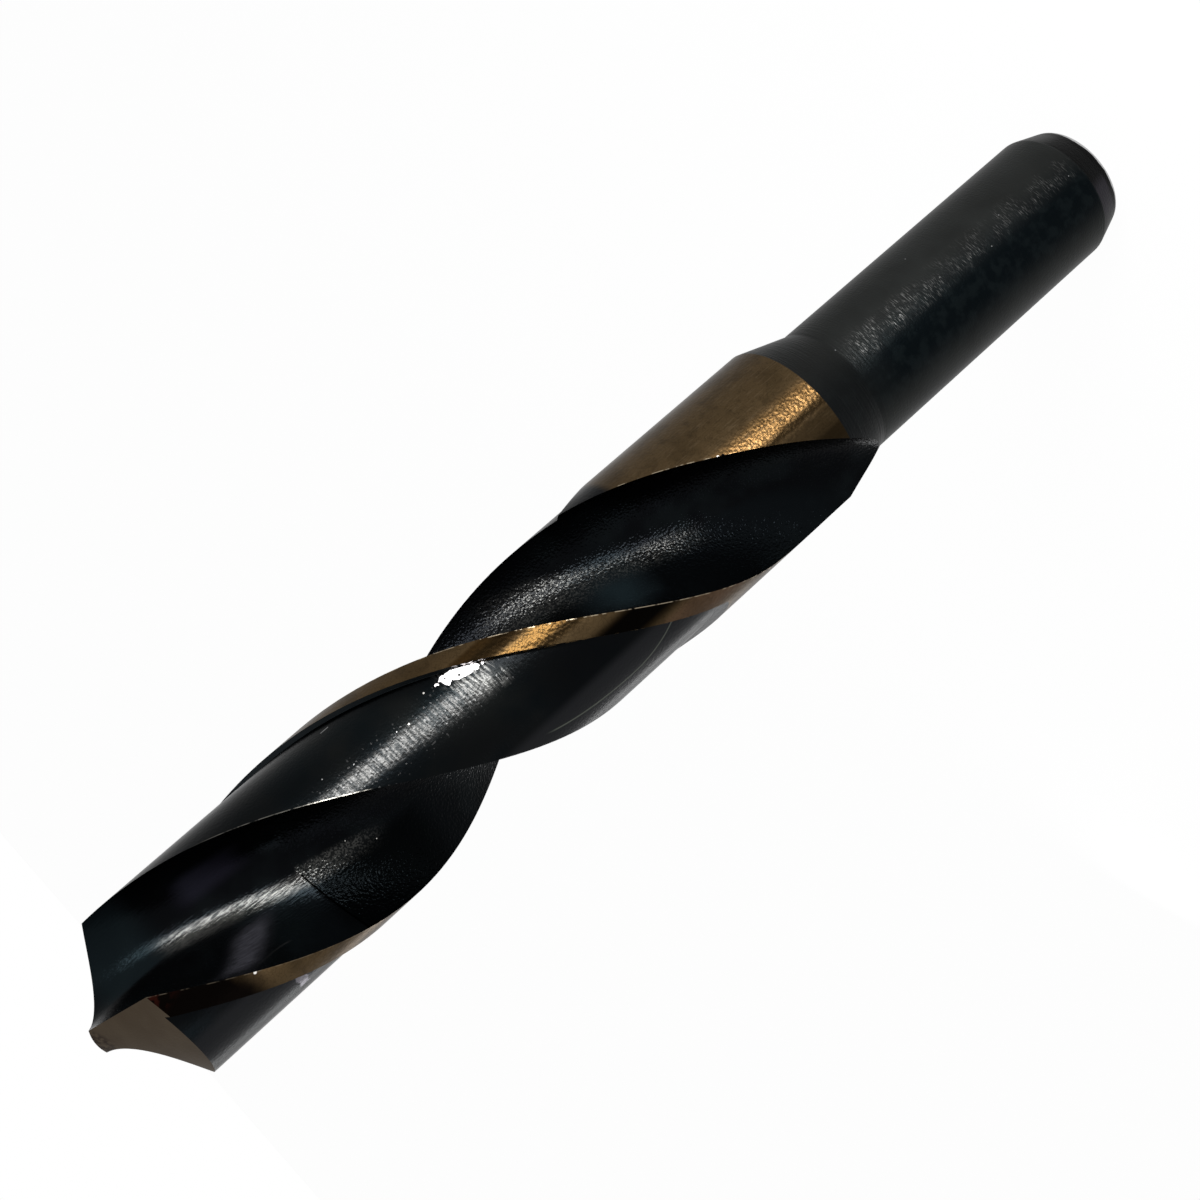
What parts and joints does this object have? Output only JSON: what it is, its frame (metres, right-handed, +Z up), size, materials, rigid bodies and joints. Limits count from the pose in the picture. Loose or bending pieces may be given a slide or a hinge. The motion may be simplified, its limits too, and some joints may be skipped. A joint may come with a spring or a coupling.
{
  "type": "reduced shank drill bit",
  "caption": "Right-hand twist drill with a ground 118 degree point, helical flutes and a thinner straight round shank below a short cone.",
  "frame": {"origin": "centre of the flat shank end face, which the drill stands on", "axes": "+Z up along the drill's axis to the point, X along the two lips seen from above the point"},
  "size_m": [0.0158, 0.0158, 0.1157],
  "materials": {
    "tool_steel": "black oxide with straw gold ground margins and a bright worn edge"
  },
  "bodies": {
    "root": {"drill_bit": "tool_steel"}
  },
  "joints": []
}
